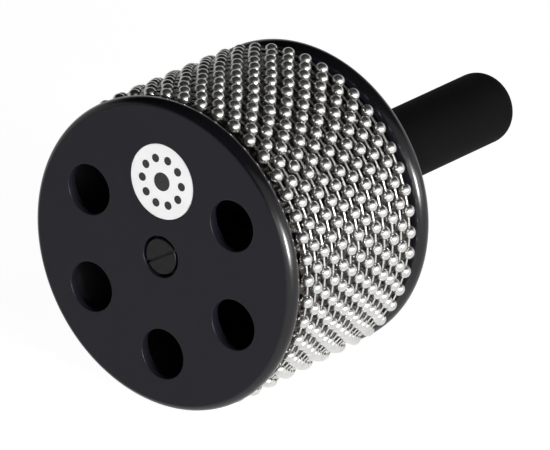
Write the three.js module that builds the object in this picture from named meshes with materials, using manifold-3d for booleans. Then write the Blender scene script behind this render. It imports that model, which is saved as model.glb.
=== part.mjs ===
// Cabasa (also called afuche), a hand percussion instrument. Loops of ball chain lie around a
// steel drum that is clamped between two round discs, and a straight handle stands out behind.
//
// Units are millimetres and +Z is up. The instrument lies on its chain loops with the drum's axis
// parallel to Y, the perforated front disc at the low Y end and the handle at the high Y end. The
// origin is on the surface it lies on, under the middle of its whole length.
//
// Inside the instrument group Y is the distance behind the front face, and X and Z are measured
// from the drum's axis.

import * as THREE from "three";
import { mergeVertices } from "three/addons/utils/BufferGeometryUtils.js";
import Module from "manifold-3d";

// ---------------------------------------------------------------- driving dimensions

const RIM_RADIUS = 50.4; // both discs, at the middle of their bulging rims
const FACE_RADIUS = 48.2; // where a disc's flat faces end and its rim begins
const DISC_THICKNESS = 6;
const DRUM_LENGTH = 72.7; // over both discs

const HANDLE_ROOT_RADIUS = 11.8; // beside the rear disc
const HANDLE_END_RADIUS = 12.1; // where the rounded end begins
const HANDLE_LENGTH = 102.9;
const HANDLE_END_ROUND = 6;
const HANDLE_ROOT_ROUND = 0.6;
const BORE_REACH = 4; // how far the handle's bore goes past the bolt's tip

const BEAD_DIAMETER = 3.8;
const LOOP_COUNT = 13;
const LOOP_PITCH = 4.38; // from one chain loop to the next
const FIRST_LOOP = 9.6; // centre of the first loop, behind the front face
const LOOP_RADIUS = 49.3; // from the drum's axis to the centres of a loop's beads

const HOLE_RADIUS = 8.1; // sound holes in the front disc
const HOLE_CIRCLE = 32.1; // radius that the sound holes are on
const HOLE_ANGLES = [30.8, 150.8, 210.8, 270.8, 330.8]; // degrees from +X towards +Z
const HOLE_CHAMFER = 0.5;

const BADGE_RADIUS = 12.1;
const BADGE_HEIGHT = 24.6; // centre of the badge above the axis
const BADGE_SIDE = 0.7; // centre of the badge towards +X
const BADGE_THICKNESS = 0.8;
const BADGE_INSET = 0.15; // how far the badge lies below the front face

const BOLT_RADIUS = 3;
const BOLT_LENGTH = 96; // under the head
const BOLT_HEAD_RADIUS = 5.8;
const BOLT_HEAD_HEIGHT = 2.4;
const BOLT_HEAD_EDGE = 0.4; // bevel round the head
const BOLT_TIP_BEVEL = 1;
const BOLT_HEAD_INSET = 0.2; // how far the head lies below the front face
const SLOT_WIDTH = 0.9;
const SLOT_DEPTH = 1.1;
const SLOT_ANGLE = 29; // degrees from +X towards +Z
const COUNTERBORE_RADIUS = 6.7;
const WASHER_RADIUS = 6.3;
const WASHER_THICKNESS = 0.8;

const SLEEVE_THICKNESS = 0.8;
const CORE_THICKNESS = 2.8;
const SPIGOT_THICKNESS = 2.2; // ring on each disc that centres the core tube
const SPIGOT_LENGTH = 4;
const INSERT_RADIUS = 5; // threaded insert in the handle's root
const INSERT_LENGTH = 20;
const INSERT_INSET = 1; // how far the insert lies inside the handle's root

const GAP = 0.3; // clearance between neighbouring pieces
const OVERSHOOT = 1; // how far a cutter reaches past the face that it opens

// ---------------------------------------------------------------- derived places

const BEAD_RADIUS = BEAD_DIAMETER / 2;
const AXIS_HEIGHT = LOOP_RADIUS + BEAD_RADIUS;
const FRONT_FACE_Y = -(DRUM_LENGTH + HANDLE_LENGTH) / 2;
const RIM_BULGE = RIM_RADIUS - FACE_RADIUS;
const RIM_ROUND = (DISC_THICKNESS ** 2 / 4 + RIM_BULGE ** 2) / (2 * RIM_BULGE);
const SLEEVE_OUTER = LOOP_RADIUS - BEAD_RADIUS - GAP;
const SLEEVE_INNER = SLEEVE_OUTER - SLEEVE_THICKNESS;
const CORE_OUTER = SLEEVE_INNER - GAP;
const CORE_INNER = CORE_OUTER - CORE_THICKNESS;
const SPIGOT_OUTER = CORE_INNER - GAP;
const SPIGOT_INNER = SPIGOT_OUTER - SPIGOT_THICKNESS;
const BOLT_CLEARANCE = BOLT_RADIUS + GAP;
const HEAD_BACK = BOLT_HEAD_INSET + BOLT_HEAD_HEIGHT;
const COUNTERBORE_DEPTH = HEAD_BACK + GAP + WASHER_THICKNESS + GAP;
const TUBE_START = DISC_THICKNESS + GAP;
const TUBE_END = DRUM_LENGTH - DISC_THICKNESS - GAP;
const HANDLE_START = DRUM_LENGTH + GAP;
const HANDLE_END = DRUM_LENGTH + HANDLE_LENGTH;
const INSERT_START = HANDLE_START + INSERT_INSET;
const BOLT_END = HEAD_BACK + BOLT_LENGTH;

// How finely each round shape is divided
const DISC_SEGMENTS = 72;
const TUBE_SEGMENTS = 64;
const HANDLE_SEGMENTS = 40;
const SMALL_SEGMENTS = 32;
const LOOP_SEGMENTS = 32;
const LOOP_SECTION_SIDES = 8;
const RIM_STEPS = 6; // pieces in a disc's bulging rim
const EDGE_STEPS = 3; // pieces in a small rounded edge
const END_STEPS = 5; // pieces in the handle's rounded end

// ---------------------------------------------------------------- shape helpers

// Points of a circle's arc in a profile, from one angle (degrees) to another.
function arc(centreR, centreY, radius, from, to, steps) {
  const points = [];
  for (let i = 0; i <= steps; i++) {
    const angle = THREE.MathUtils.degToRad(from + ((to - from) * i) / steps);
    const r = centreR + radius * Math.cos(angle);
    const y = centreY + radius * Math.sin(angle);
    points.push([r, y]);
  }
  return points;
}

// A solid of revolution about Y. The profile holds [radius, y] pairs and runs counterclockwise.
function turned(profile, segments) {
  const points = profile.map(([r, y]) => new THREE.Vector2(r, y));
  return new THREE.LatheGeometry(points, segments);
}

// A plain ring or tube about Y.
function tube(inner, outer, start, end, segments) {
  const profile = [
    [inner, start],
    [outer, start],
    [outer, end],
    [inner, end],
    [inner, start],
  ];
  return turned(profile, segments);
}

// A plain round bar about Y.
function bar(radius, start, end, segments) {
  const profile = [
    [0, start],
    [radius, start],
    [radius, end],
    [0, end],
  ];
  return turned(profile, segments);
}

// ---------------------------------------------------------------- booleans

const wasm = await Module();
wasm.setup();

// The closed solid of a geometry, with its shared vertices merged and empty triangles dropped.
function toSolid(geometry) {
  const bare = geometry.clone();
  bare.deleteAttribute("normal");
  bare.deleteAttribute("uv");
  const merged = mergeVertices(bare, 1e-4);
  const corners = merged.index.array;
  const kept = [];
  for (let i = 0; i < corners.length; i += 3) {
    const [a, b, c] = [corners[i], corners[i + 1], corners[i + 2]];
    if (a !== b && b !== c && c !== a) {
      kept.push(a, b, c);
    }
  }
  return new wasm.Manifold(
    new wasm.Mesh({
      numProp: 3,
      vertProperties: new Float32Array(merged.attributes.position.array),
      triVerts: new Uint32Array(kept),
    }),
  );
}

function toGeometry(solid) {
  const mesh = solid.getMesh();
  const geometry = new THREE.BufferGeometry();
  geometry.setAttribute("position", new THREE.BufferAttribute(mesh.vertProperties, 3));
  geometry.setIndex(new THREE.BufferAttribute(mesh.triVerts, 1));
  geometry.computeVertexNormals();
  return geometry;
}

function cut(geometry, cutters) {
  let solid = toSolid(geometry);
  for (const cutter of cutters) {
    solid = solid.subtract(toSolid(cutter));
  }
  return toGeometry(solid);
}

// ---------------------------------------------------------------- materials

function finish(color, roughness, metalness) {
  return new THREE.MeshStandardMaterial({ color, roughness, metalness });
}

const BLACK_DISC = () => finish(0x2b2b30, 0.42, 0.0);
const BLACK_HANDLE = () => finish(0x1b1b1b, 0.8, 0.0);
const CHAIN_METAL = () => finish(0xd9d9d6, 0.12, 1.0);
const DRUM_STEEL = () => finish(0x8c8a86, 0.35, 1.0);
const CORE_PLASTIC = () => finish(0x151517, 0.6, 0.0);
const WHITE_BADGE = () => finish(0xf1f1ef, 0.4, 0.0);
const BLACK_METAL = () => finish(0x2a2726, 0.4, 0.9);
const INSERT_BRASS = () => finish(0xb08d57, 0.35, 1.0);

// ---------------------------------------------------------------- discs

// Half of a disc's section from its flat outer face, at y = 0, to the inner side with the spigot.
// The rim bulges out between two faint edges where the flat faces end.
function discProfile() {
  const middle = DISC_THICKNESS / 2;
  const reach = THREE.MathUtils.radToDeg(Math.asin(middle / RIM_ROUND));
  return [
    [0, 0],
    ...arc(RIM_RADIUS - RIM_ROUND, middle, RIM_ROUND, -reach, reach, RIM_STEPS),
    [SPIGOT_OUTER, DISC_THICKNESS],
    [SPIGOT_OUTER, DISC_THICKNESS + SPIGOT_LENGTH],
    [SPIGOT_INNER, DISC_THICKNESS + SPIGOT_LENGTH],
    [SPIGOT_INNER, DISC_THICKNESS],
    [0, DISC_THICKNESS],
  ];
}

// A round cutter through the front disc with a chamfer at the front face.
function soundHoleCutter(angle) {
  const end = DISC_THICKNESS + SPIGOT_LENGTH + OVERSHOOT;
  const profile = [
    [0, -OVERSHOOT],
    [HOLE_RADIUS + HOLE_CHAMFER + OVERSHOOT, -OVERSHOOT],
    [HOLE_RADIUS, HOLE_CHAMFER],
    [HOLE_RADIUS, end],
    [0, end],
  ];
  const radians = THREE.MathUtils.degToRad(angle);
  const cutter = turned(profile, SMALL_SEGMENTS);
  return cutter.translate(HOLE_CIRCLE * Math.cos(radians), 0, HOLE_CIRCLE * Math.sin(radians));
}

function frontDisc() {
  const pocketEnd = BADGE_INSET + BADGE_THICKNESS + GAP;
  const badgePocket = bar(BADGE_RADIUS + GAP, -OVERSHOOT, pocketEnd, SMALL_SEGMENTS);
  const cutters = [
    bar(COUNTERBORE_RADIUS, -OVERSHOOT, COUNTERBORE_DEPTH, SMALL_SEGMENTS),
    bar(BOLT_CLEARANCE, 0, DISC_THICKNESS + OVERSHOOT, SMALL_SEGMENTS),
    badgePocket.translate(BADGE_SIDE, 0, BADGE_HEIGHT),
    ...HOLE_ANGLES.map(soundHoleCutter),
  ];
  return cut(turned(discProfile(), DISC_SEGMENTS), cutters);
}

// The rear disc is the same blank turned round, with only the bolt's hole through it.
function rearDisc() {
  const blank = turned(discProfile(), DISC_SEGMENTS);
  const hole = bar(BOLT_CLEARANCE, -OVERSHOOT, DISC_THICKNESS + OVERSHOOT, SMALL_SEGMENTS);
  return cut(blank, [hole]).rotateX(Math.PI).translate(0, DRUM_LENGTH, 0);
}

// ---------------------------------------------------------------- drum

function coreTube() {
  return tube(CORE_INNER, CORE_OUTER, TUBE_START, TUBE_END, TUBE_SEGMENTS);
}

function drumSleeve() {
  return tube(SLEEVE_INNER, SLEEVE_OUTER, TUBE_START, TUBE_END, TUBE_SEGMENTS);
}

// ---------------------------------------------------------------- badge, bolt and washer

function badge() {
  const disc = bar(BADGE_RADIUS, BADGE_INSET, BADGE_INSET + BADGE_THICKNESS, SMALL_SEGMENTS);
  return disc.translate(BADGE_SIDE, 0, BADGE_HEIGHT);
}

// A long machine bolt whose round head has a straight screwdriver slot.
function centreBolt() {
  const profile = [
    [0, BOLT_HEAD_INSET],
    [BOLT_HEAD_RADIUS - BOLT_HEAD_EDGE, BOLT_HEAD_INSET],
    [BOLT_HEAD_RADIUS, BOLT_HEAD_INSET + BOLT_HEAD_EDGE],
    [BOLT_HEAD_RADIUS, HEAD_BACK],
    [BOLT_RADIUS, HEAD_BACK],
    [BOLT_RADIUS, BOLT_END - BOLT_TIP_BEVEL],
    [BOLT_RADIUS - BOLT_TIP_BEVEL, BOLT_END],
    [0, BOLT_END],
  ];
  const slot = new THREE.BoxGeometry(3 * BOLT_HEAD_RADIUS, 2 * SLOT_DEPTH, SLOT_WIDTH);
  slot.rotateY(-THREE.MathUtils.degToRad(SLOT_ANGLE));
  slot.translate(0, BOLT_HEAD_INSET, 0);
  return cut(turned(profile, SMALL_SEGMENTS), [slot]);
}

function boltWasher() {
  const start = HEAD_BACK + GAP;
  return tube(BOLT_CLEARANCE, WASHER_RADIUS, start, start + WASHER_THICKNESS, SMALL_SEGMENTS);
}

// ---------------------------------------------------------------- handle

// A round handle, slightly thicker towards its rounded end, with a blind stepped bore for the
// insert and the bolt's end.
function handle() {
  const pocketRadius = INSERT_RADIUS + GAP;
  const pocketEnd = INSERT_START + INSERT_LENGTH + GAP;
  const boreEnd = BOLT_END + BORE_REACH;
  const rootCentre = HANDLE_ROOT_RADIUS - HANDLE_ROOT_ROUND;
  const endCentre = HANDLE_END_RADIUS - HANDLE_END_ROUND;
  const profile = [
    [pocketRadius, HANDLE_START],
    ...arc(rootCentre, HANDLE_START + HANDLE_ROOT_ROUND, HANDLE_ROOT_ROUND, -90, 0, EDGE_STEPS),
    ...arc(endCentre, HANDLE_END - HANDLE_END_ROUND, HANDLE_END_ROUND, 0, 90, END_STEPS),
    [0, HANDLE_END],
    [0, boreEnd],
    [BOLT_CLEARANCE, boreEnd],
    [BOLT_CLEARANCE, pocketEnd],
    [pocketRadius, pocketEnd],
    [pocketRadius, HANDLE_START],
  ];
  return turned(profile, HANDLE_SEGMENTS);
}

function handleInsert() {
  const end = INSERT_START + INSERT_LENGTH;
  return tube(BOLT_CLEARANCE, INSERT_RADIUS, INSERT_START, end, SMALL_SEGMENTS);
}

// ---------------------------------------------------------------- chain loops

// One chain loop as a plain ring about the drum's axis. Its flat sides lie at the beads' outermost
// and innermost reach, and one flat faces straight down.
function chainLoop() {
  const sectionRadius = BEAD_RADIUS / Math.cos(Math.PI / LOOP_SECTION_SIDES);
  const flatToCorner = 1 / Math.cos(Math.PI / LOOP_SEGMENTS);
  const profile = [];
  for (let i = 0; i <= LOOP_SECTION_SIDES; i++) {
    const angle = ((i + 0.5) * 2 * Math.PI) / LOOP_SECTION_SIDES;
    const r = LOOP_RADIUS + sectionRadius * Math.cos(angle);
    profile.push([r * flatToCorner, sectionRadius * Math.sin(angle)]);
  }
  return turned(profile, LOOP_SEGMENTS).rotateY(Math.PI / LOOP_SEGMENTS);
}

// ---------------------------------------------------------------- assembly

const instrument = new THREE.Group();
instrument.position.set(0, FRONT_FACE_Y, AXIS_HEIGHT);

function add(name, geometry, material) {
  const mesh = new THREE.Mesh(geometry, material);
  mesh.name = name;
  instrument.add(mesh);
  return mesh;
}

add("front_disc", frontDisc(), BLACK_DISC());
add("rear_disc", rearDisc(), BLACK_DISC());
add("core_tube", coreTube(), CORE_PLASTIC());
add("drum_sleeve", drumSleeve(), DRUM_STEEL());
add("badge", badge(), WHITE_BADGE());
add("centre_bolt", centreBolt(), BLACK_METAL());
add("bolt_washer", boltWasher(), BLACK_METAL());
add("handle", handle(), BLACK_HANDLE());
add("handle_insert", handleInsert(), INSERT_BRASS());

for (let i = 0; i < LOOP_COUNT; i++) {
  const name = `chain_loop_${String(i + 1).padStart(2, "0")}`;
  const loop = add(name, chainLoop(), CHAIN_METAL());
  loop.position.set(0, FIRST_LOOP + i * LOOP_PITCH, 0);
}

const model = new THREE.Group();
model.add(instrument);

export default model;
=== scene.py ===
"""Looks for the cabasa: smooth moulded discs, a ridged steel drum, thirteen loops of real
ball-and-link chain, a matte handle, and a plain pale floor with soft studio light.

Lengths are metres and MM turns millimetres into them. The drum's axis is parallel to Y, the front
disc is at the low Y end, and +Z is up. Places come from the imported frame.
"""

import math

import bmesh
import bpy
import numpy as np
from mathutils import Matrix, Vector

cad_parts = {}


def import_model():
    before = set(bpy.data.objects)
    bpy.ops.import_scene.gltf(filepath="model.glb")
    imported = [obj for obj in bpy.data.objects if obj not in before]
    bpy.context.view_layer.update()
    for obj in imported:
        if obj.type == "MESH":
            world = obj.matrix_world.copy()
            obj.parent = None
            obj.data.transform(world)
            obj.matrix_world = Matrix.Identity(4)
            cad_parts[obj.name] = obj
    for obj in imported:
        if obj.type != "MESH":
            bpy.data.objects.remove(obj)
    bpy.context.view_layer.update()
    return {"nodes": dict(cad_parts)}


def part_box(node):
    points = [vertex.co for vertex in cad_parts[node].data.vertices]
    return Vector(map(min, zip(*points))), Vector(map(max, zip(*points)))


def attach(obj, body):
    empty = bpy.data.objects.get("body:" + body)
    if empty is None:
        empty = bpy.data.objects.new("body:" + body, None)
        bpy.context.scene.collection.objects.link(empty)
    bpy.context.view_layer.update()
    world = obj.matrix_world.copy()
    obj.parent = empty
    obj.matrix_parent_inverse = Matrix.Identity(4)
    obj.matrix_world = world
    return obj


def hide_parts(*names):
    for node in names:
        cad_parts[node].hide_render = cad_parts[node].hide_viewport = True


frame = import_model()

MM = 0.001

# ---------------------------------------------------------------- places from the frame

DISC_LOW, DISC_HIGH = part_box("front_disc")
RIM_RADIUS = (DISC_HIGH.x - DISC_LOW.x) / 2
AXIS_Z = (DISC_HIGH.z + DISC_LOW.z) / 2
AXIS = (0.0, AXIS_Z)
FRONT_Y = DISC_LOW.y
REAR_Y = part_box("rear_disc")[1].y
HANDLE_LOW, HANDLE_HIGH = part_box("handle")
HANDLE_RADIUS = (HANDLE_HIGH.x - HANDLE_LOW.x) / 2  # at its thick end
SLEEVE_LOW, SLEEVE_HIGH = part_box("drum_sleeve")
SLEEVE_RADIUS = (SLEEVE_HIGH.x - SLEEVE_LOW.x) / 2
CORE_LOW, CORE_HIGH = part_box("core_tube")
CORE_RADIUS = (CORE_HIGH.x - CORE_LOW.x) / 2
BADGE_LOW, BADGE_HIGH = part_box("badge")
BADGE_RADIUS = (BADGE_HIGH.x - BADGE_LOW.x) / 2
BADGE_CENTRE = ((BADGE_HIGH.x + BADGE_LOW.x) / 2, (BADGE_HIGH.z + BADGE_LOW.z) / 2)
BOLT_LOW, BOLT_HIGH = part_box("centre_bolt")
HEAD_RADIUS = (BOLT_HIGH.x - BOLT_LOW.x) / 2
LOOPS = sorted(n for n in frame["nodes"] if n.startswith("chain_loop_"))

# ---------------------------------------------------------------- sizes of the finer shapes

EDGE_BREAK = 0.35 * MM  # small rounding on machined or moulded edges
SUPPORT = 0.25 * MM  # narrow ring that keeps a flat face's shading flat beside a rounded edge

DISC_THICKNESS = 6 * MM
FACE_RADIUS = 48.2 * MM  # where a disc's flat faces end and its bulging rim begins
RIM_BULGE = RIM_RADIUS - FACE_RADIUS
RIM_ROUND = (DISC_THICKNESS ** 2 / 4 + RIM_BULGE ** 2) / (2 * RIM_BULGE)
WEB_THICKNESS = 1.8 * MM  # of the front disc around its sound holes
WEB_POCKET = 10.5 * MM  # radius of the recess behind each sound hole
HOLE_RADIUS = 8.1 * MM
HOLE_CIRCLE = 32.1 * MM
HOLE_ANGLES = [30.8, 150.8, 210.8, 270.8, 330.8]  # the badge has the sixth place, at the top
COUNTERBORE_RADIUS = 6.7 * MM
COUNTERBORE_DEPTH = 4.0 * MM
BOLT_HOLE_RADIUS = 3.3 * MM

SLEEVE_WALL = 0.8 * MM
RIDGES = 150
RIDGE_HEIGHT = 0.18 * MM
RIDGE_EASE = 2.0 * MM  # length over which the ridges rise at each end of the sleeve
CORE_WALL = 2.8 * MM

BADGE_POCKET_GAP = 0.15 * MM
BADGE_EDGE = 0.12 * MM
INK_HEIGHT = 0.04 * MM
MIDDLE_DOT_RADIUS = 3.0 * MM
DOT_RADIUS = 1.35 * MM
DOT_CIRCLE = 7.6 * MM
DOTS = 10

HEAD_HEIGHT = 2.4 * MM
SHANK_RADIUS = 3.0 * MM
SLOT_WIDTH = 0.9 * MM
SLOT_DEPTH = 1.1 * MM
SLOT_ANGLE = 29

HANDLE_END_ROUND = 6 * MM
HANDLE_ROOT_ROUND = 0.6 * MM
HANDLE_ROOT_TAPER = 0.3 * MM  # how much thinner the handle is at its root
INSERT_POCKET_RADIUS = 5.3 * MM
INSERT_POCKET_DEPTH = 21.5 * MM
BORE_PAST_BOLT = 4 * MM  # how much deeper than the bolt the handle's bore is

BEADS_PER_LOOP = 47
FIRST_BEAD = 0.11  # how far the first bead is turned from +X, in bead steps
BEAD_STRETCH = 0.045  # how much further apart the beads are on the +X side
BEAD_ACROSS = 4.05 * MM
BEAD_ALONG = 4.3 * MM
BEAD_MOUTH = 0.85 * MM  # radius of the hole that the link goes into
MOUTH_DEPTH = 0.5 * MM
MOUTH_ROLL = 0.12 * MM  # how far the mouth's lip is rolled in
MOUTH_TAPER = 0.02 * MM  # how much narrower the mouth is at its bottom
LINK_RADIUS = 0.40 * MM
LINK_WAIST = 0.96  # thickness halfway along a link, as a part of LINK_RADIUS
LINK_SHOULDER = 0.55  # where a link begins to thin, as a part of its half length
LINK_INSIDE = 0.65 * MM  # how far a link reaches into each ball
TURN_SCATTER = 0.04  # unevenness of whole loops around the drum, in bead steps
STEP_SCATTER = 0.02  # unevenness of single balls around the drum, in bead steps
SIDE_SCATTER = 0.05 * MM  # the same along the drum
OUT_SCATTER = 0.04 * MM  # the same away from the drum
RANDOM_SEED = 7

DISC_SEGMENTS = 240
HOLE_SEGMENTS = 72
HEAD_SEGMENTS = 96
BADGE_SEGMENTS = 128
HANDLE_SEGMENTS = 128
CORE_SEGMENTS = 160
DOT_SEGMENTS = 40
RIM_STEPS = 24
EDGE_STEPS = 4  # across a rounded edge of the badge or of a hole
CORNER_STEPS = 5  # across a rounded edge of the bolt's head or of the handle's root
HANDLE_END_STEPS = 14
TAPER_STEPS = 10
RIDGE_STEPS = 8  # vertices across one ridge
BEAD_SIDES = 28
BEAD_STEPS = 14
LINK_SIDES = 12
SMOOTH_ANGLE = 35  # sharper edges than this stay sharp, in degrees
RIDGE_SMOOTH_ANGLE = 50
CHAIN_SMOOTH_ANGLE = 45

rng = np.random.default_rng(RANDOM_SEED)

# ---------------------------------------------------------------- camera

CAMERA_AZIMUTH = 37.26
CAMERA_ELEVATION = 20.93
CAMERA_DISTANCE = 1.610  # from the camera's plane to the middle of the front face
CAMERA_REACH = 20
LENS = 343.9
SENSOR = 36.0
FACE_RIGHT = -35.13 * MM  # where the middle of the front face lies in the camera's view
FACE_UP = -9.72 * MM


def make_camera():
    """A long lens that looks down on the front disc from its right."""
    azimuth, elevation = math.radians(CAMERA_AZIMUTH), math.radians(CAMERA_ELEVATION)
    back = Vector((math.sin(azimuth) * math.cos(elevation),
                   -math.cos(azimuth) * math.cos(elevation),
                   math.sin(elevation)))
    right = Vector((0, 0, 1)).cross(back).normalized()
    up = back.cross(right)
    data = bpy.data.cameras.new("camera")
    data.lens = LENS
    data.sensor_width = SENSOR
    data.clip_end = CAMERA_REACH
    camera = bpy.data.objects.new("camera", data)
    face = Vector((0, FRONT_Y, AXIS_Z))
    place = face + back * CAMERA_DISTANCE - right * FACE_RIGHT - up * FACE_UP
    turn = Matrix((right, up, back)).transposed()
    camera.matrix_world = Matrix.Translation(place) @ turn.to_4x4()
    bpy.context.scene.collection.objects.link(camera)
    bpy.context.scene.camera = camera


# ---------------------------------------------------------------- mesh helpers


def link(mesh, name, material, smooth_angle=SMOOTH_ANGLE):
    """A new object in the scene, smooth but for its sharp edges."""
    mesh.shade_smooth()
    mesh.set_sharp_from_angle(angle=math.radians(smooth_angle))
    mesh.materials.append(material)
    piece = bpy.data.objects.new(name, mesh)
    bpy.context.scene.collection.objects.link(piece)
    return piece


def finish_bmesh(bm, name):
    """The mesh that was being built, with its normals outward."""
    bmesh.ops.recalc_face_normals(bm, faces=bm.faces)
    mesh = bpy.data.meshes.new(name)
    bm.to_mesh(mesh)
    bm.free()
    return mesh


def ring(bm, radius, y, segments, centre=AXIS):
    """A circle of vertices about a line parallel to Y, or one vertex where the radius is 0."""
    x0, z0 = centre
    if radius == 0:
        return [bm.verts.new((x0, y, z0))]
    angles = (2 * math.pi * i / segments for i in range(segments))
    return [bm.verts.new((x0 + radius * math.cos(a), y, z0 + radius * math.sin(a))) for a in angles]


def bridge(bm, a, b):
    """Faces between two rings, or between a ring and a point."""
    if len(a) == 1 or len(b) == 1:
        tip, loop = (a[0], b) if len(a) == 1 else (b[0], a)
        for i in range(len(loop)):
            bm.faces.new((tip, loop[i], loop[(i + 1) % len(loop)]))
        return
    for i in range(len(a)):
        j = (i + 1) % len(a)
        bm.faces.new((a[i], a[j], b[j], b[i]))


def sweep(bm, profile, segments, centre=AXIS):
    """Rings for every (radius, y) of a profile, joined in order. Returns the first and last ring."""
    rings = [ring(bm, r, y, segments, centre) for r, y in profile]
    for a, b in zip(rings, rings[1:]):
        bridge(bm, a, b)
    return rings[0], rings[-1]


def fill_flat(bm, loops, normal):
    """One flat face with holes, from its outline and the outlines of its holes."""
    edges = []
    for loop in loops:
        for i in range(len(loop)):
            edges.append(bm.edges.get((loop[i], loop[(i + 1) % len(loop)])))
    bmesh.ops.triangle_fill(bm, edges=edges, use_beauty=True, normal=normal)


def arc(centre_r, centre_y, radius, start, end, steps):
    """(radius, y) points of a round edge between two angles in degrees."""
    angles = (math.radians(start + (end - start) * i / steps) for i in range(steps + 1))
    return [(centre_r + radius * math.cos(a), centre_y + radius * math.sin(a)) for a in angles]


def turned(name, profile, segments, material):
    """A closed turned piece about the drum's axis."""
    bm = bmesh.new()
    first, last = sweep(bm, profile, segments)
    if len(first) > 1:
        bridge(bm, last, first)
    return link(finish_bmesh(bm, name), name, material)


def apply_modifiers(piece):
    """The piece's evaluated mesh becomes its own mesh."""
    depsgraph = bpy.context.evaluated_depsgraph_get()
    mesh = bpy.data.meshes.new_from_object(piece.evaluated_get(depsgraph))
    piece.modifiers.clear()
    piece.data = mesh


# ---------------------------------------------------------------- node helpers


class Tree:
    """Short calls for building a node tree."""

    def __init__(self, owner):
        owner.use_nodes = True
        self.tree = owner.node_tree

    def fill(self, socket, value):
        """A socket takes either a link or a plain value."""
        if isinstance(value, bpy.types.NodeSocket):
            self.tree.links.new(value, socket)
        else:
            socket.default_value = value

    def new(self, kind, inputs, **settings):
        node = self.tree.nodes.new(kind)
        for key, value in settings.items():
            setattr(node, key, value)
        for key, value in inputs.items():
            self.fill(node.inputs[key], value)
        return node

    def place(self, space):
        return self.new("ShaderNodeTexCoord", {}).outputs[space]

    def parts(self, vector):
        """The X, Y and Z outputs of a vector."""
        return self.new("ShaderNodeSeparateXYZ", {0: vector}).outputs

    def map(self, value, low, high, to_low, to_high, curve="LINEAR"):
        inputs = {"Value": value, "From Min": low, "From Max": high,
                  "To Min": to_low, "To Max": to_high}
        return self.new("ShaderNodeMapRange", inputs, interpolation_type=curve).outputs["Result"]

    def math(self, operation, a, b):
        return self.new("ShaderNodeMath", {0: a, 1: b}, operation=operation).outputs["Value"]


class Nodes(Tree):
    """A new material, with short calls for what its surface needs."""

    def __init__(self, name):
        self.material = bpy.data.materials.new(name)
        super().__init__(self.material)
        self.shader = self.tree.nodes["Principled BSDF"]
        self.here = self.place("Object")

    def set(self, **sockets):
        """The shader's own sockets, with _ for each space in a name."""
        for key, value in sockets.items():
            self.fill(self.shader.inputs[key.replace("_", " ")], value)

    def noise(self, scale, detail, roughness=0.55, where=None):
        inputs = {"Vector": where or self.here, "Scale": scale, "Detail": detail,
                  "Roughness": roughness}
        return self.new("ShaderNodeTexNoise", inputs).outputs["Fac"]

    def mix(self, factor, a, b):
        """From colour a to colour b. A colour is three numbers or another node's output."""
        node = self.new("ShaderNodeMix", {0: factor}, data_type="RGBA")
        for index, value in ((6, a), (7, b)):
            self.fill(node.inputs[index], (*value, 1.0) if isinstance(value, tuple) else value)
        return node.outputs[2]

    def blend(self, value, low, high, a, b):
        """Colour a where the value is low, colour b where it is high."""
        return self.mix(self.map(value, low, high, 0.0, 1.0), a, b)

    def stretched(self, scale):
        """Object places stretched along each axis."""
        return self.new("ShaderNodeMapping", {"Vector": self.here, "Scale": scale}).outputs[0]

    def radius(self):
        """Distance from the drum's axis."""
        here = self.parts(self.here)
        height = self.math("SUBTRACT", here["Z"], AXIS_Z)
        across = self.new("ShaderNodeCombineXYZ", {"X": here["X"], "Z": height})
        length = self.new("ShaderNodeVectorMath", {0: across.outputs[0]}, operation="LENGTH")
        return length.outputs["Value"]

    def bump(self, height, distance, strength):
        inputs = {"Height": height, "Distance": distance, "Strength": strength}
        return self.new("ShaderNodeBump", inputs).outputs["Normal"]


# ---------------------------------------------------------------- materials


def black_disc_material():
    """Black moulded plastic: a satin face with a fine grain and a glossier rounded rim, whose colour is
    painted darker as shade.
    """
    n = Nodes("black_disc")
    # The third colour is the rim's: painted shade, darker than the face. The rim's higher gloss is real.
    plain, dusty, rim_painted_shade = (0.0068, 0.0064, 0.0108), (0.036, 0.036, 0.042), (0.0035, 0.0035, 0.0045)
    grain = n.noise(scale=2600, detail=3)
    smudge = n.noise(scale=45, detail=5, roughness=0.6)
    dust = n.noise(scale=900, detail=6, roughness=0.7)
    rim = n.map(n.radius(), FACE_RADIUS, FACE_RADIUS + 0.3 * RIM_BULGE, 0.0, 1.0)
    color = n.mix(n.map(dust, 0.62, 0.8, 0.0, 0.10), plain, dusty)
    rough = n.math("ADD", n.map(smudge, 0.3, 0.7, 0.40, 0.47), n.math("MULTIPLY", rim, -0.24))
    # On the rim the colour turns to the darker painted shade.
    n.set(Base_Color=n.mix(rim, color, rim_painted_shade),
          Roughness=rough,
          Specular_IOR_Level=n.map(rim, 0.0, 1.0, 0.25, 0.5),
          Normal=n.bump(grain, 0.02 * MM, 0.35))
    return n.material


def black_handle_material():
    """Very matte black coating with a fine orange-peel grain."""
    n = Nodes("black_handle")
    fresh, rubbed = (0.0016, 0.0016, 0.0019), (0.0026, 0.0026, 0.0030)
    grain = n.noise(scale=1500, detail=5, roughness=0.6)
    rub = n.noise(scale=30, detail=4, roughness=0.5)
    n.set(Base_Color=n.blend(rub, 0.35, 0.75, fresh, rubbed),
          Roughness=n.map(grain, 0.3, 0.7, 0.72, 0.86),
          Specular_IOR_Level=0.07,
          Normal=n.bump(grain, 0.05 * MM, 0.5))
    return n.material


def chain_material():
    """Bright nickel plate, slightly dulled by handling."""
    n = Nodes("chain_metal")
    bright, dulled = (0.74, 0.735, 0.72), (0.66, 0.65, 0.63)
    film = n.noise(scale=320, detail=4, roughness=0.6)
    pits = n.noise(scale=2400, detail=3, roughness=0.6)
    n.set(Base_Color=n.blend(film, 0.35, 0.7, bright, dulled),
          Metallic=0.96,
          Roughness=n.map(film, 0.35, 0.75, 0.20, 0.28),
          Normal=n.bump(pits, 0.004 * MM, 0.3))
    return n.material


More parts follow.
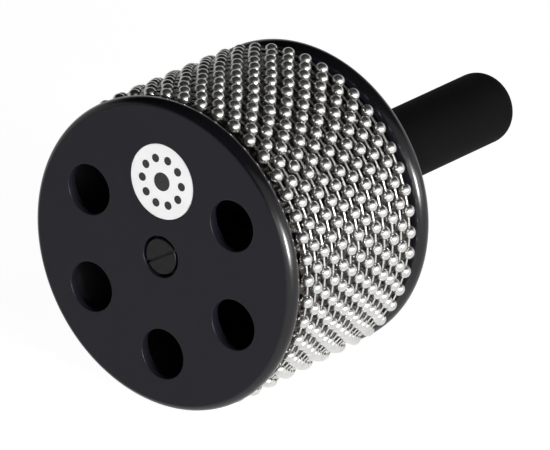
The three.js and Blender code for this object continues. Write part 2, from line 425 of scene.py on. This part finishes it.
def drum_steel_material():
    """Polished steel sheet, brushed around the drum, with a brown film in places. Its colour is painted
    very dark, as shade between the beads.
    """
    n = Nodes("drum_steel")
    # The steel colour is far darker than bare steel: painted shade for the gaps between the beads. The
    # brown film is random tone.
    steel, brown_film = (0.09, 0.086, 0.082), (0.06, 0.05, 0.043)
    brushed = n.noise(scale=90, detail=4, roughness=0.7, where=n.stretched((1.0, 40.0, 1.0)))
    film = n.noise(scale=60, detail=5, roughness=0.6)
    n.set(Base_Color=n.blend(film, 0.35, 0.7, steel, brown_film),
          Metallic=1.0,
          Roughness=n.map(brushed, 0.3, 0.7, 0.16, 0.30),
          Normal=n.bump(brushed, 0.01 * MM, 0.4))
    return n.material


def core_plastic_material():
    """Dull black plastic inside the drum, slightly dusty."""
    n = Nodes("core_plastic")
    plain, dusty = (0.006, 0.006, 0.007), (0.02, 0.02, 0.02)
    dust = n.noise(scale=240, detail=6, roughness=0.7)
    n.set(Base_Color=n.blend(dust, 0.45, 0.8, plain, dusty),
          Roughness=n.map(dust, 0.3, 0.7, 0.55, 0.75),
          Normal=n.bump(dust, 0.03 * MM, 0.4))
    return n.material


def badge_material():
    """White enamel, slightly uneven."""
    n = Nodes("white_badge")
    white, cloudy = (0.88, 0.88, 0.88), (0.84, 0.84, 0.835)
    cloud = n.noise(scale=120, detail=4, roughness=0.5)
    waves = n.noise(scale=800, detail=2)
    n.set(Base_Color=n.blend(cloud, 0.3, 0.7, white, cloudy),
          Roughness=n.map(cloud, 0.3, 0.7, 0.32, 0.45),
          Normal=n.bump(waves, 0.01 * MM, 0.2))
    return n.material


def badge_ink_material():
    """Dark printed ink."""
    n = Nodes("badge_ink")
    ink, thin_ink = (0.012, 0.012, 0.014), (0.05, 0.05, 0.055)
    speck = n.noise(scale=1800, detail=3, roughness=0.6)
    n.set(Base_Color=n.blend(speck, 0.5, 0.8, ink, thin_ink),
          Roughness=n.map(speck, 0.3, 0.7, 0.42, 0.55))
    return n.material


def black_metal_material():
    """Blackened steel with slightly paler rubbed patches."""
    n = Nodes("black_metal")
    black, rubbed = (0.0035, 0.0033, 0.0045), (0.008, 0.0075, 0.0085)
    patches = n.noise(scale=420, detail=5, roughness=0.65)
    turning = n.noise(scale=700, detail=3, roughness=0.5)
    n.set(Base_Color=n.blend(patches, 0.42, 0.72, black, rubbed),
          Metallic=0.4,
          Roughness=n.map(turning, 0.3, 0.7, 0.34, 0.5),
          Normal=n.bump(patches, 0.006 * MM, 0.3))
    return n.material


def insert_brass_material():
    """Plain turned brass."""
    n = Nodes("insert_brass")
    brass, dark_brass = (0.62, 0.45, 0.20), (0.50, 0.35, 0.14)
    lines = n.noise(scale=900, detail=3, roughness=0.5, where=n.stretched((1.0, 6.0, 1.0)))
    n.set(Base_Color=n.blend(lines, 0.3, 0.7, brass, dark_brass),
          Metallic=1.0,
          Roughness=n.map(lines, 0.3, 0.7, 0.22, 0.4))
    return n.material


MATERIALS = {
    "black_disc": black_disc_material(),
    "black_handle": black_handle_material(),
    "chain_metal": chain_material(),
    "drum_steel": drum_steel_material(),
    "core_plastic": core_plastic_material(),
    "white_badge": badge_material(),
    "badge_ink": badge_ink_material(),
    "black_metal": black_metal_material(),
    "insert_brass": insert_brass_material(),
}


def place_piece(piece, body, slot, *nodes):
    """Puts the piece on its body and hides the CAD nodes that it replaces."""
    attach(piece, body)
    if nodes:
        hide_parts(*nodes)


# ---------------------------------------------------------------- discs


def disc_edge(outer_y, direction):
    """Profile of a disc's bulging rim, from its outer face to its inner face. It starts and ends
    one narrow support ring inside the flat faces' edges."""
    middle = DISC_THICKNESS / 2
    reach = math.degrees(math.asin(middle / RIM_ROUND))
    profile = [(FACE_RADIUS - SUPPORT, 0)]
    profile += arc(RIM_RADIUS - RIM_ROUND, middle, RIM_ROUND, -reach, reach, RIM_STEPS)
    profile += [(FACE_RADIUS - SUPPORT, DISC_THICKNESS)]
    return [(r, outer_y + direction * y) for r, y in profile]


def hole_edge(radius, start_y, end_y):
    """Profile of a hole whose mouth at start_y is slightly rounded."""
    mouth = [(radius + EDGE_BREAK + SUPPORT, start_y)]
    for i in range(EDGE_STEPS + 1):
        angle = math.radians(90 * i / EDGE_STEPS)
        r = radius + EDGE_BREAK * (1 - math.sin(angle))
        mouth.append((r, start_y + EDGE_BREAK * (1 - math.cos(angle))))
    return mouth + [(radius, end_y)]


def hole_places():
    """The middle of each sound hole, as (x, z)."""
    for angle in HOLE_ANGLES:
        a = math.radians(angle)
        yield HOLE_CIRCLE * math.cos(a), AXIS_Z + HOLE_CIRCLE * math.sin(a)


def front_disc():
    """The disc with five sound holes, a counterbore for the bolt and a shallow pocket for the badge."""
    bm = bmesh.new()
    back_y = FRONT_Y + DISC_THICKNESS
    web_y = FRONT_Y + WEB_THICKNESS
    floor_y = FRONT_Y + COUNTERBORE_DEPTH
    face_outline, back_outline = sweep(bm, disc_edge(FRONT_Y, 1), DISC_SEGMENTS)
    face_loops, back_loops = [face_outline], [back_outline]
    hole = hole_edge(HOLE_RADIUS, FRONT_Y, web_y) + [(WEB_POCKET, web_y), (WEB_POCKET, back_y)]
    for centre in hole_places():
        mouth, back = sweep(bm, hole, HOLE_SEGMENTS, centre)
        face_loops.append(mouth)
        back_loops.append(back)
    bore = hole_edge(COUNTERBORE_RADIUS, FRONT_Y, floor_y)
    bore += [(BOLT_HOLE_RADIUS, floor_y), (BOLT_HOLE_RADIUS, back_y)]
    mouth, back = sweep(bm, bore, HOLE_SEGMENTS)
    face_loops.append(mouth)
    back_loops.append(back)
    pocket_radius = BADGE_RADIUS + BADGE_POCKET_GAP
    pocket_y = BADGE_HIGH.y + BADGE_POCKET_GAP
    pocket = [(pocket_radius, FRONT_Y), (pocket_radius, pocket_y), (0, pocket_y)]
    mouth, _ = sweep(bm, pocket, 2 * HOLE_SEGMENTS, BADGE_CENTRE)
    face_loops.append(mouth)
    fill_flat(bm, face_loops, (0, -1, 0))
    fill_flat(bm, back_loops, (0, 1, 0))
    piece = link(finish_bmesh(bm, "front_disc_shell"), "front_disc_shell", MATERIALS["black_disc"])
    place_piece(piece, "drum", "black_disc", "front_disc")


def rear_disc():
    """The plain disc on the handle's side, with a hole for the bolt."""
    bm = bmesh.new()
    outer, inner = sweep(bm, disc_edge(REAR_Y, -1), DISC_SEGMENTS)
    bore = [(BOLT_HOLE_RADIUS, REAR_Y), (BOLT_HOLE_RADIUS, REAR_Y - DISC_THICKNESS)]
    bore_outer, bore_inner = sweep(bm, bore, HOLE_SEGMENTS)
    fill_flat(bm, [outer, bore_outer], (0, 1, 0))
    fill_flat(bm, [inner, bore_inner], (0, -1, 0))
    piece = link(finish_bmesh(bm, "rear_disc_shell"), "rear_disc_shell", MATERIALS["black_disc"])
    place_piece(piece, "drum", "black_disc", "rear_disc")


# ---------------------------------------------------------------- drum


def ridged_ring(bm, y, rise):
    """A ring of the sleeve's outside. The ridges have their full height where rise is 1."""
    segments = RIDGES * RIDGE_STEPS
    vertices = []
    for i in range(segments):
        angle = 2 * math.pi * i / segments
        wave = 0.5 + 0.5 * math.cos(2 * math.pi * i / RIDGE_STEPS)
        radius = SLEEVE_RADIUS + rise * RIDGE_HEIGHT * wave
        vertices.append(bm.verts.new((radius * math.cos(angle), y, AXIS_Z + radius * math.sin(angle))))
    return vertices


def drum_sleeve():
    """Steel sheet with fine ridges pressed along the drum."""
    front, back = SLEEVE_LOW.y, SLEEVE_HIGH.y
    outline = [(front, 0.0), (front + RIDGE_EASE / 2, 0.6), (front + RIDGE_EASE, 1.0),
               (back - RIDGE_EASE, 1.0), (back - RIDGE_EASE / 2, 0.6), (back, 0.0)]
    bm = bmesh.new()
    rings = [ridged_ring(bm, y, rise) for y, rise in outline]
    rings += [ring(bm, SLEEVE_RADIUS - SLEEVE_WALL, y, RIDGES * RIDGE_STEPS) for y in (back, front)]
    for a, b in zip(rings, rings[1:] + rings[:1]):
        bridge(bm, a, b)
    mesh = finish_bmesh(bm, "ridged_sleeve")
    piece = link(mesh, "ridged_sleeve", MATERIALS["drum_steel"], RIDGE_SMOOTH_ANGLE)
    place_piece(piece, "drum", "drum_steel", "drum_sleeve")


def core_tube():
    """The plastic tube inside the sleeve."""
    inner = CORE_RADIUS - CORE_WALL
    profile = [(inner, CORE_LOW.y), (CORE_RADIUS, CORE_LOW.y), (CORE_RADIUS, CORE_HIGH.y),
               (inner, CORE_HIGH.y)]
    piece = turned("core_tube_smooth", profile, CORE_SEGMENTS, MATERIALS["core_plastic"])
    place_piece(piece, "drum", "core_plastic", "core_tube")


# ---------------------------------------------------------------- badge, bolt, handle


def badge():
    """A thin white disc with a rounded edge."""
    front, back = BADGE_LOW.y, BADGE_HIGH.y
    profile = [(0, front), (BADGE_RADIUS - BADGE_EDGE - SUPPORT, front)]
    profile += arc(BADGE_RADIUS - BADGE_EDGE, front + BADGE_EDGE, BADGE_EDGE, -90, 0, EDGE_STEPS)
    profile += [(BADGE_RADIUS, back), (0, back)]
    bm = bmesh.new()
    sweep(bm, profile, BADGE_SEGMENTS, BADGE_CENTRE)
    piece = link(finish_bmesh(bm, "badge_disc"), "badge_disc", MATERIALS["white_badge"])
    place_piece(piece, "drum", "white_badge", "badge")


def badge_print():
    """A plain printed motif: a ring of dots around one larger dot."""
    dots = [(0.0, 0.0, MIDDLE_DOT_RADIUS)]
    for i in range(DOTS):
        angle = 2 * math.pi * i / DOTS
        dots.append((DOT_CIRCLE * math.cos(angle), DOT_CIRCLE * math.sin(angle), DOT_RADIUS))
    front, back = BADGE_LOW.y - INK_HEIGHT, BADGE_LOW.y + INK_HEIGHT
    bm = bmesh.new()
    for x, z, radius in dots:
        centre = (BADGE_CENTRE[0] + x, BADGE_CENTRE[1] + z)
        sweep(bm, [(0, front), (radius, front), (radius, back), (0, back)], DOT_SEGMENTS, centre)
    piece = link(finish_bmesh(bm, "badge_print"), "badge_print", MATERIALS["badge_ink"])
    place_piece(piece, "drum", "white_badge")


def slot_cutter():
    """A box as long as the head is wide, turned to the slot's angle."""
    bm = bmesh.new()
    bmesh.ops.create_cube(bm, size=1.0)
    size = Matrix.Diagonal((3 * HEAD_RADIUS, 2 * SLOT_DEPTH, SLOT_WIDTH, 1.0))
    turn = Matrix.Rotation(-math.radians(SLOT_ANGLE), 4, "Y")
    place = Matrix.Translation((0, BOLT_LOW.y, AXIS_Z))
    bmesh.ops.transform(bm, matrix=place @ turn @ size, verts=bm.verts)
    cutter = bpy.data.objects.new("slot_cutter", finish_bmesh(bm, "slot_cutter"))
    bpy.context.scene.collection.objects.link(cutter)
    return cutter


def bolt():
    """The slotted head and the shank."""
    front, under, end = BOLT_LOW.y, BOLT_LOW.y + HEAD_HEIGHT, BOLT_HIGH.y
    profile = [(0, front), (HEAD_RADIUS - EDGE_BREAK - SUPPORT, front)]
    profile += arc(HEAD_RADIUS - EDGE_BREAK, front + EDGE_BREAK, EDGE_BREAK, -90, 0, CORNER_STEPS)
    profile += [(HEAD_RADIUS, under), (SHANK_RADIUS, under), (SHANK_RADIUS, end), (0, end)]
    piece = turned("bolt_with_slot", profile, HEAD_SEGMENTS, MATERIALS["black_metal"])
    cutter = slot_cutter()
    boolean = piece.modifiers.new("slot", "BOOLEAN")
    boolean.operation = "DIFFERENCE"
    boolean.solver = "EXACT"
    boolean.object = cutter
    apply_modifiers(piece)
    bpy.data.objects.remove(cutter)
    place_piece(piece, "drum", "black_metal", "centre_bolt")


def handle():
    """A thick rod with a rounded end, bored from its root for the insert and the bolt."""
    root, end = HANDLE_LOW.y, HANDLE_HIGH.y
    pocket_end = root + INSERT_POCKET_DEPTH
    bore_end = BOLT_HIGH.y + BORE_PAST_BOLT
    root_radius = HANDLE_RADIUS - HANDLE_ROOT_TAPER
    taper_start, taper_end = root + HANDLE_ROOT_ROUND, end - HANDLE_END_ROUND
    profile = [(0, bore_end), (BOLT_HOLE_RADIUS, bore_end), (BOLT_HOLE_RADIUS, pocket_end),
               (INSERT_POCKET_RADIUS, pocket_end), (INSERT_POCKET_RADIUS, root)]
    profile += arc(root_radius - HANDLE_ROOT_ROUND, taper_start, HANDLE_ROOT_ROUND, -90, 0, CORNER_STEPS)
    for i in range(1, TAPER_STEPS):
        part = i / TAPER_STEPS
        y = taper_start + (taper_end - taper_start) * part
        profile.append((root_radius + HANDLE_ROOT_TAPER * part, y))
    end_radius = HANDLE_RADIUS - HANDLE_END_ROUND
    profile += arc(end_radius, taper_end, HANDLE_END_ROUND, 0, 90, HANDLE_END_STEPS)
    profile += [(end_radius - SUPPORT, end), (0, end)]
    piece = turned("handle_body", profile, HANDLE_SEGMENTS, MATERIALS["black_handle"])
    place_piece(piece, "drum", "black_handle", "handle")


# ---------------------------------------------------------------- chain


def lathe_part(profile, sides):
    """Points (along, outward, sideways) and faces of a small closed turned part."""
    points, faces, starts = [], [], []
    for along, radius in profile:
        starts.append(len(points))
        count = 1 if radius == 0 else sides
        for i in range(count):
            angle = 2 * math.pi * i / sides
            points.append((along, radius * math.cos(angle), radius * math.sin(angle)))
    for k in range(len(profile) - 1):
        a, b = starts[k], starts[k + 1]
        for i in range(sides):
            j = (i + 1) % sides
            if profile[k][1] == 0:
                faces.append((a, b + j, b + i))
            elif profile[k + 1][1] == 0:
                faces.append((a + i, a + j, b))
            else:
                faces.append((a + i, a + j, b + j, b + i))
    return np.array(points), faces


def bead_part():
    """A hollow ball, slightly longer along the chain, with a rolled-in mouth at each end."""
    along, across = BEAD_ALONG / 2, BEAD_ACROSS / 2
    start = math.asin(BEAD_MOUTH / across)
    mouth_along = along * math.cos(start)
    bottom = mouth_along - MOUTH_DEPTH
    lip_radius = BEAD_MOUTH - MOUTH_ROLL
    inside = [(bottom, 0.0), (bottom, lip_radius - MOUTH_TAPER), (mouth_along - MOUTH_ROLL, lip_radius)]
    profile = [(-a, r) for a, r in inside]
    for i in range(BEAD_STEPS + 1):
        angle = start + (math.pi - 2 * start) * i / BEAD_STEPS
        profile.append((-along * math.cos(angle), across * math.sin(angle)))
    profile += [(a, r) for a, r in reversed(inside)]
    return lathe_part(profile, BEAD_SIDES)


def link_part(length):
    """The link between two balls, from inside one mouth to inside the next."""
    half = length / 2
    shoulder = half * LINK_SHOULDER
    profile = [(-half, 0.0), (-half, LINK_RADIUS), (-shoulder, LINK_RADIUS),
               (0.0, LINK_RADIUS * LINK_WAIST),
               (shoulder, LINK_RADIUS), (half, LINK_RADIUS), (half, 0.0)]
    return lathe_part(profile, LINK_SIDES)


def bead_centres(index, node):
    """Where a loop's balls sit. Every second loop is turned by half a step."""
    low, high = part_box(node)
    middle = (low + high) / 2
    radius = (high.z - low.z) / 2 - BEAD_ACROSS / 2
    step = 2 * math.pi / BEADS_PER_LOOP
    phase = FIRST_BEAD + (index % 2) * 0.5 + rng.uniform(-TURN_SCATTER, TURN_SCATTER)
    turns = (np.arange(BEADS_PER_LOOP) + phase) * step
    turns = turns + BEAD_STRETCH * np.sin(turns)
    turns = turns + rng.uniform(-STEP_SCATTER, STEP_SCATTER, BEADS_PER_LOOP) * step
    sideways = rng.normal(0.0, SIDE_SCATTER, BEADS_PER_LOOP)
    out = radius + rng.uniform(-OUT_SCATTER, OUT_SCATTER, BEADS_PER_LOOP)
    return np.stack([middle.x + out * np.cos(turns), middle.y + sideways,
                     middle.z + out * np.sin(turns)], 1)


class PartHeap:
    """Many copies of small parts, gathered into one mesh."""

    def __init__(self):
        self.points, self.faces, self.count = [], [], 0

    def put(self, part, centre, direction, roll=0.0):
        """A copy of a part at a centre, along a direction and turned about it."""
        part_points, part_faces = part
        out = np.cross(direction, (0.0, 1.0, 0.0))
        out /= np.linalg.norm(out)
        side = np.cross(out, direction)
        c, s = math.cos(roll), math.sin(roll)
        basis = np.stack([direction, c * out + s * side, c * side - s * out])
        self.points.append(centre + part_points @ basis)
        self.faces.extend(tuple(i + self.count for i in f) for f in part_faces)
        self.count += len(part_points)

    def mesh(self, name):
        mesh = bpy.data.meshes.new(name)
        mesh.from_pydata(np.concatenate(self.points).tolist(), [], self.faces)
        mesh.update()
        return mesh


def chain_loop(index, node):
    """One closed loop: a ball at every place and a link from each ball to the next."""
    centres = bead_centres(index, node)
    bead = bead_part()
    heap = PartHeap()
    for j, centre in enumerate(centres):
        before, after = centres[j - 1], centres[(j + 1) % BEADS_PER_LOOP]
        direction = (after - before) / np.linalg.norm(after - before)
        heap.put(bead, centre, direction, rng.uniform(0, 2 * math.pi))
        gap = after - centre
        span = np.linalg.norm(gap)
        length = span - BEAD_ALONG + 2 * LINK_INSIDE
        heap.put(link_part(length), centre + gap / 2, gap / span)
    name = node.replace("chain_loop", "ball_chain")
    piece = link(heap.mesh("chain"), name, MATERIALS["chain_metal"], CHAIN_SMOOTH_ANGLE)
    place_piece(piece, node, "chain_metal", node)


# ---------------------------------------------------------------- carried-over nodes


def carried_over_nodes():
    """The two hidden CAD pieces that keep their own shape get a material each."""
    for node, slot in (("bolt_washer", "black_metal"), ("handle_insert", "insert_brass")):
        data = frame["nodes"][node].data
        data.materials.clear()
        data.materials.append(MATERIALS[slot])


# ---------------------------------------------------------------- floor and light

FLOOR_HALF_WIDTH = 6
FLOOR_TOOTH = 0.02  # how much darker the paper's low spots are
FLOOR_Z = -0.2 * MM
VIEW_FLOOR_Z = -0.1 * MM
WORLD_DARK = 0.010
WORLD_BEHIND = 0.75
WORLD_LEFT = 0.5
WORLD_TOP_FADE = (0.25, 0.55)  # Z of a unit direction, from the pale surroundings to the dark
WORLD_BEHIND_FADE = (-0.2, 0.5)  # Y of a unit direction, from dark to pale
WORLD_LEFT_FADE = (-0.9, -0.3)  # X of a unit direction, from pale to dark
LIGHT_TARGET = (0, FRONT_Y + 40 * MM, AXIS_Z)


def floor_material(name, shade, glow):
    """White paper. The glow stands for light that reaches it from outside the modelled lamps."""
    n = Nodes(name)
    tooth = n.noise(scale=300, detail=4)
    n.set(Base_Color=n.blend(tooth, 0.3, 0.7, (shade,) * 3, (shade - FLOOR_TOOTH,) * 3),
          Roughness=0.9,
          Specular_IOR_Level=0.0,
          Emission_Color=(1, 1, 1, 1),
          Emission_Strength=glow)
    return n.material


def floor_sheet(name, material, height, seen):
    """A large sheet that only the camera sees, or that everything but the camera sees."""
    bm = bmesh.new()
    bmesh.ops.create_grid(bm, x_segments=1, y_segments=1, size=FLOOR_HALF_WIDTH)
    bmesh.ops.translate(bm, verts=bm.verts, vec=(0, 0, height))
    mesh = finish_bmesh(bm, name)
    mesh.materials.append(material)
    piece = bpy.data.objects.new(name, mesh)
    bpy.context.scene.collection.objects.link(piece)
    piece.visible_camera = seen
    piece.visible_diffuse = not seen
    piece.visible_glossy = not seen
    piece.visible_transmission = not seen
    piece.visible_shadow = not seen


def floor():
    """A lit white floor for the light and the reflections, and a paler sheet that only the camera
    sees, so that the ground stays white where the instrument would throw its shadow."""
    floor_sheet("floor", floor_material("floor_paper", 0.88, 0.48), FLOOR_Z, False)
    floor_sheet("floor_view", floor_material("floor_view_paper", 0.22, 0.95), VIEW_FLOOR_Z, True)


def world():
    """Dark overhead and in front, pale near the horizon behind and on the left."""
    data = bpy.data.worlds.new("studio")
    n = Tree(data)
    toward = n.parts(n.place("Generated"))
    low_down = n.map(toward["Z"], *WORLD_TOP_FADE, 1.0, 0.0, curve="SMOOTHSTEP")
    behind = n.map(toward["Y"], *WORLD_BEHIND_FADE, 0.0, WORLD_BEHIND, curve="SMOOTHSTEP")
    left = n.map(toward["X"], *WORLD_LEFT_FADE, WORLD_LEFT, 0.0, curve="SMOOTHSTEP")
    pale = n.math("MULTIPLY", low_down, n.math("MAXIMUM", behind, left))
    background = data.node_tree.nodes["Background"]
    background.inputs["Color"].default_value = (1, 1, 1, 1)
    n.fill(background.inputs["Strength"], n.math("ADD", pale, WORLD_DARK))
    bpy.context.scene.world = data


def area_light(name, place, size, watts):
    """A rectangular lamp that faces the drum."""
    data = bpy.data.lights.new(name, "AREA")
    data.shape = "RECTANGLE"
    data.size, data.size_y = size
    data.energy = watts
    lamp = bpy.data.objects.new(name, data)
    away = Vector(place) - Vector(LIGHT_TARGET)
    turn = away.to_track_quat("Z", "Y").to_matrix().to_4x4()
    lamp.matrix_world = Matrix.Translation(place) @ turn
    bpy.context.scene.collection.objects.link(lamp)


def lights():
    """A long low wall of light on the right, with a brighter box and a small hot lamp in it."""
    area_light("wall_right", place=(1.48, -0.60, 0.24), size=(3.6, 0.55), watts=15)
    area_light("wall_above", place=(1.36, -0.50, 0.95), size=(3.4, 0.9), watts=4)
    area_light("softbox_right", place=(1.44, -0.58, 0.20), size=(0.95, 0.5), watts=9)
    area_light("lamp_right", place=(1.40, -0.58, 0.18), size=(0.34, 0.24), watts=22)


make_camera()
world()
lights()
floor()
front_disc()
rear_disc()
drum_sleeve()
core_tube()
badge()
badge_print()
bolt()
handle()
for number, loop in enumerate(LOOPS):
    chain_loop(number, loop)
carried_over_nodes()
bpy.context.scene.view_settings.view_transform = "Standard"
